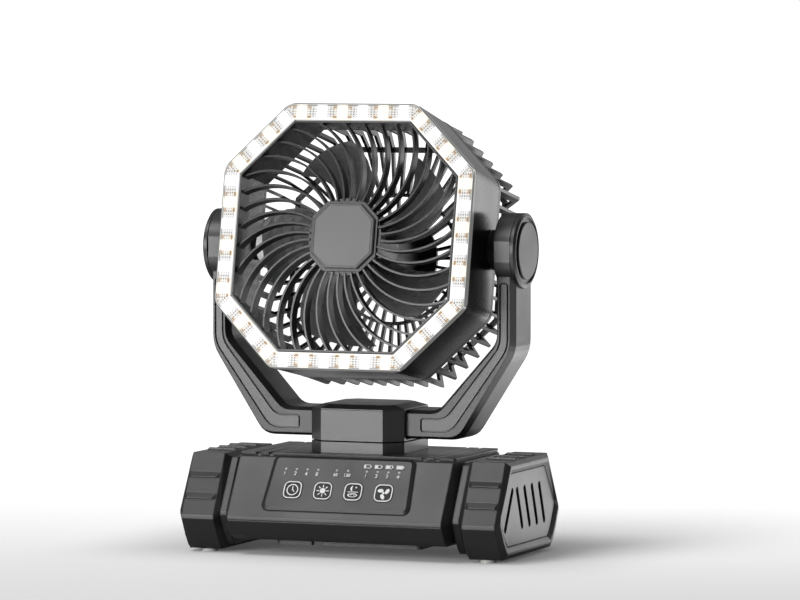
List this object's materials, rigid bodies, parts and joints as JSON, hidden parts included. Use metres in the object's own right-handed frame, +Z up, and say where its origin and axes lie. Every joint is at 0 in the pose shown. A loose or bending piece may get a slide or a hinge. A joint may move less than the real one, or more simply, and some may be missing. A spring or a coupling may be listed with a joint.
{
  "type": "portable camping fan",
  "caption": "Free-standing rechargeable fan: octagonal head with ring light tilts in a swinging yoke on a wide battery base with buttons and folding hook.",
  "frame": {"origin": "on the floor under the middle of the base, on the swing axis", "axes": "+Z up, the fan faces -Y, +X to the right of someone looking at its front"},
  "size_m": [0.2556, 0.1496, 0.3368],
  "materials": {
    "shell_plastic": "semi-gloss moulded plastic",
    "cap_plastic": "fine-grained moulded plastic",
    "panel_plastic": "smooth panel",
    "button_plastic": "smooth keys",
    "light_guide": "clear light guides",
    "circuit_board": "solder-masked board",
    "tray_plastic": "matt black plastic",
    "cell_wrap": "shrink wrap",
    "bright_steel": "turned steel",
    "gear_plastic": "natural acetal",
    "hook_plastic": "tough dark plastic",
    "foot_rubber": "translucent soft pad",
    "friction_rubber": "matt friction ring",
    "neck_plastic": "semi-gloss moulded plastic",
    "yoke_plastic": "semi-gloss moulded plastic",
    "inlay_plastic": "satin grey inlay",
    "pivot_plastic": "satin caps",
    "head_plastic": "semi-gloss moulded plastic",
    "lens_plastic": "diffusing prismatic lens",
    "cool_led": "cool white light chips",
    "warm_led": "warm white light chips",
    "grille_plastic": "semi-gloss moulded plastic",
    "badge_plastic": "satin grey badge, left bare",
    "cover_plastic": "satin cover",
    "blade_plastic": "glossy dark blades"
  },
  "bodies": {
    "base": {"base_upper_shell": "shell_plastic", "base_lower_shell": "shell_plastic", "left_end_band": "shell_plastic", "right_end_band": "shell_plastic", "left_end_cap": "cap_plastic", "right_end_cap": "cap_plastic", "left_vent_panel": "cap_plastic", "right_vent_panel": "cap_plastic", "feet": "foot_rubber", "control_panel": "panel_plastic", "indicator_lights": "light_guide", "control_board": "circuit_board", "battery_tray": "tray_plastic", "battery_cells": "cell_wrap", "swing_motor": "bright_steel", "port_plate": "tray_plastic", "usb_c_socket": "bright_steel", "usb_a_socket": "bright_steel", "hook_pins": "bright_steel", "neck_collar": "neck_plastic", "spindle_washer": "bright_steel"},
    "yoke": {"swivel_spindle": "bright_steel", "swing_gear": "gear_plastic", "neck_block": "neck_plastic", "neck_cover": "neck_plastic", "yoke_frame": "yoke_plastic", "yoke_rear_cover": "yoke_plastic", "left_inlay": "inlay_plastic", "right_inlay": "inlay_plastic", "left_pivot_cap": "pivot_plastic", "right_pivot_cap": "pivot_plastic"},
    "head": {"left_friction_ring": "friction_rubber", "right_friction_ring": "friction_rubber", "left_tilt_pin": "bright_steel", "right_tilt_pin": "bright_steel", "head_housing": "head_plastic", "light_lens": "lens_plastic", "led_board": "circuit_board", "cool_leds": "cool_led", "warm_leds": "warm_led", "front_grille": "grille_plastic", "badge": "badge_plastic", "rear_grille": "grille_plastic", "fan_motor": "bright_steel", "rear_hub_cover": "cover_plastic"},
    "rotor": {"motor_shaft": "bright_steel", "impeller": "blade_plastic", "impeller_nut": "bright_steel"},
    "hook": {"hanging_hook": "hook_plastic"},
    "pinion": {"swing_pinion": "gear_plastic"},
    "timer_button": {"timer_button": "button_plastic"},
    "light_button": {"light_button": "button_plastic"},
    "swing_button": {"swing_button": "button_plastic"},
    "fan_button": {"fan_button": "button_plastic"}
  },
  "joints": [
    {"name": "yoke_swivel", "type": "hinge", "parent": "base", "child": "yoke", "pos_m": [0, 0, 0.0848], "axis": [0, 0, 1], "range_deg": [-60, 60]},
    {"name": "head_tilt", "type": "hinge", "parent": "yoke", "child": "head", "pos_m": [0, 0, 0.228], "axis": [1, 0, 0], "range_deg": [-78.5, 101.5]},
    {"name": "impeller_spin", "type": "hinge", "parent": "head", "child": "rotor", "pos_m": [0, 0, 0.228], "axis": [0, -0.9799, 0.1994], "continuous": true},
    {"name": "pinion_spin", "type": "hinge", "parent": "base", "child": "pinion", "pos_m": [0.036, 0, 0.069], "axis": [0, 0, 1], "range_deg": [-180, 180]},
    {"name": "hook_fold", "type": "hinge", "parent": "base", "child": "hook", "pos_m": [0, 0, 0.0092], "axis": [1, 0, 0], "range_deg": [0, 90]},
    {"name": "timer_press", "type": "slide", "parent": "base", "child": "timer_button", "axis": [0, 0.8638, -0.5039], "range_m": [0, 0.0008], "stiffness_N_per_m": 200},
    {"name": "light_press", "type": "slide", "parent": "base", "child": "light_button", "axis": [0, 0.8638, -0.5039], "range_m": [0, 0.0008], "stiffness_N_per_m": 200},
    {"name": "swing_press", "type": "slide", "parent": "base", "child": "swing_button", "axis": [0, 0.8638, -0.5039], "range_m": [0, 0.0008], "stiffness_N_per_m": 200},
    {"name": "fan_press", "type": "slide", "parent": "base", "child": "fan_button", "axis": [0, 0.8638, -0.5039], "range_m": [0, 0.0008], "stiffness_N_per_m": 200}
  ],
  "couplings": [
    {"joint": "pinion_spin", "follows": "yoke_swivel", "ratio": -3}
  ]
}
